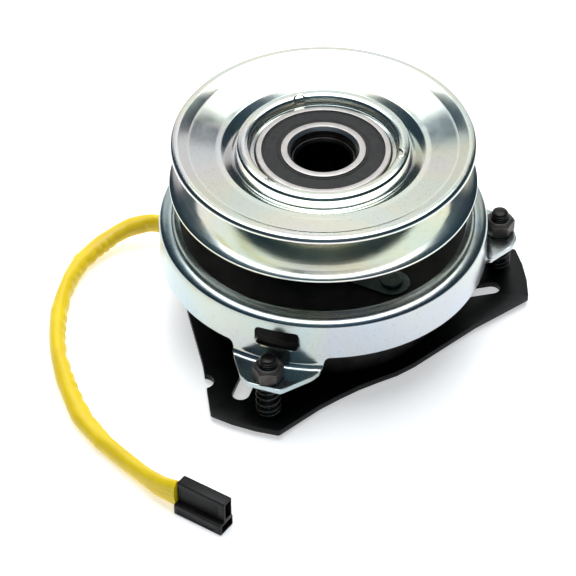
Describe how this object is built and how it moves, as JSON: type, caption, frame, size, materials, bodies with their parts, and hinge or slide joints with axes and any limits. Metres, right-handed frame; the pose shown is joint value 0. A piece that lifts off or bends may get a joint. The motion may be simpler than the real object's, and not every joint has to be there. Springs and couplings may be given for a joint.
{
  "type": "electromagnetic clutch",
  "caption": "Electromagnetic belt-drive clutch with a V-belt pulley, a spring-adjusted brake ring, a slotted mounting plate and a sleeved lead with a connector.",
  "frame": {"origin": "on the crankshaft axis, level with the ends of the adjusting studs that the clutch stands on", "axes": "+Z along the crankshaft axis from the mounting plate to the pulley; the front adjusting stud is at -107.5 degrees from +X"},
  "size_m": [0.2257, 0.241, 0.0981],
  "materials": {
    "zinc_plated_steel": "bright blue-white zinc plating with a faint iridescence",
    "black_coated_plate": "black electro-coat, satin",
    "dark_steel": "black oxide, satin",
    "phosphate_nut": "brown-grey phosphate",
    "spring_steel": "oiled black spring steel",
    "bearing_steel": "ground bearing steel",
    "seal_rubber": "moulded nitrile rubber",
    "coil_copper": "enamelled copper wire",
    "bobbin_nylon": "natural glass-filled nylon",
    "potting_epoxy": "cast epoxy",
    "yellow_sleeve": "soft yellow vinyl sleeving",
    "connector_nylon": "black moulded nylon, satin",
    "terminal_brass": "tinned brass"
  },
  "bodies": {
    "field": {"mounting_plate": "black_coated_plate", "field_shell": "dark_steel", "coil_bobbin": "bobbin_nylon", "coil_winding": "coil_copper", "coil_potting": "potting_epoxy", "field_snap_ring": "spring_steel", "lead_grommet": "seal_rubber", "field_bearing_outer_ring": "bearing_steel", "field_bearing_top_seal": "seal_rubber", "field_bearing_bottom_seal": "seal_rubber", "adjusting_stud_1": "dark_steel", "adjusting_stud_2": "dark_steel", "adjusting_stud_3": "dark_steel", "brake_spring_1": "spring_steel", "brake_spring_2": "spring_steel", "brake_spring_3": "spring_steel", "lead_sleeve": "yellow_sleeve", "connector_housing": "connector_nylon", "connector_terminal_1": "terminal_brass", "connector_terminal_2": "terminal_brass"},
    "field_cage": {"field_bearing_ball_cage": "bearing_steel"},
    "rotor": {"rotor_hub": "dark_steel", "rotor_disc": "dark_steel", "field_bearing_inner_ring": "bearing_steel", "pulley_bearing_inner_ring": "bearing_steel"},
    "pulley_cage": {"pulley_bearing_ball_cage": "bearing_steel"},
    "pulley": {"pulley_upper": "zinc_plated_steel", "pulley_lower": "zinc_plated_steel", "pulley_hub": "zinc_plated_steel", "hub_rivet_1": "zinc_plated_steel", "hub_rivet_2": "zinc_plated_steel", "hub_rivet_3": "zinc_plated_steel", "pulley_bearing_outer_ring": "bearing_steel", "pulley_bearing_top_seal": "seal_rubber", "pulley_bearing_bottom_seal": "seal_rubber", "leaf_spring_1": "spring_steel", "leaf_spring_2": "spring_steel", "leaf_spring_3": "spring_steel"},
    "armature": {"armature_plate": "dark_steel", "armature_rivet_1": "zinc_plated_steel", "armature_rivet_2": "zinc_plated_steel", "armature_rivet_3": "zinc_plated_steel"},
    "brake": {"brake_ring": "zinc_plated_steel"},
    "nut_1": {"lock_nut_1": "phosphate_nut"},
    "nut_2": {"lock_nut_2": "phosphate_nut"},
    "nut_3": {"lock_nut_3": "phosphate_nut"}
  },
  "joints": [
    {"name": "rotor_spin", "type": "hinge", "parent": "field", "child": "rotor", "pos_m": [0, 0, 0.04], "axis": [0, 0, 1], "continuous": true},
    {"name": "field_cage_spin", "type": "hinge", "parent": "field", "child": "field_cage", "pos_m": [0, 0, 0.0166], "axis": [0, 0, 1], "continuous": true},
    {"name": "pulley_spin", "type": "hinge", "parent": "rotor", "child": "pulley", "pos_m": [0, 0, 0.0845], "axis": [0, 0, 1], "continuous": true},
    {"name": "pulley_cage_spin", "type": "hinge", "parent": "rotor", "child": "pulley_cage", "pos_m": [0, 0, 0.0845], "axis": [0, 0, 1], "continuous": true},
    {"name": "armature_travel", "type": "slide", "parent": "pulley", "child": "armature", "axis": [0, 0, 1], "range_m": [-0.0005, 0], "stiffness_N_per_m": 20000, "springref_m": 0.001, "deforming": ["leaf_spring_1", "leaf_spring_2", "leaf_spring_3"]},
    {"name": "brake_gap_adjust", "type": "slide", "parent": "field", "child": "brake", "axis": [0, 0, 1], "range_m": [0, 0.001], "deforming": ["brake_spring_1", "brake_spring_2", "brake_spring_3"]},
    {"name": "nut_1_turn", "type": "hinge", "parent": "brake", "child": "nut_1", "pos_m": [-0.02568, -0.08145, 0.0316], "axis": [0, 0, 1], "range_deg": [0, 255]},
    {"name": "nut_2_turn", "type": "hinge", "parent": "brake", "child": "nut_2", "pos_m": [0.08338, 0.01848, 0.0316], "axis": [0, 0, 1], "range_deg": [0, 255]},
    {"name": "nut_3_turn", "type": "hinge", "parent": "brake", "child": "nut_3", "pos_m": [-0.0577, 0.06296, 0.0316], "axis": [0, 0, 1], "range_deg": [0, 255]}
  ],
  "couplings": [
    {"joint": "field_cage_spin", "follows": "rotor_spin", "ratio": 0.4265},
    {"joint": "pulley_cage_spin", "follows": "pulley_spin", "ratio": 0.6024},
    {"joint": "nut_1_turn", "follows": "brake_gap_adjust", "rad_per_m": 4450},
    {"joint": "nut_2_turn", "follows": "brake_gap_adjust", "rad_per_m": 4450},
    {"joint": "nut_3_turn", "follows": "brake_gap_adjust", "rad_per_m": 4450}
  ]
}
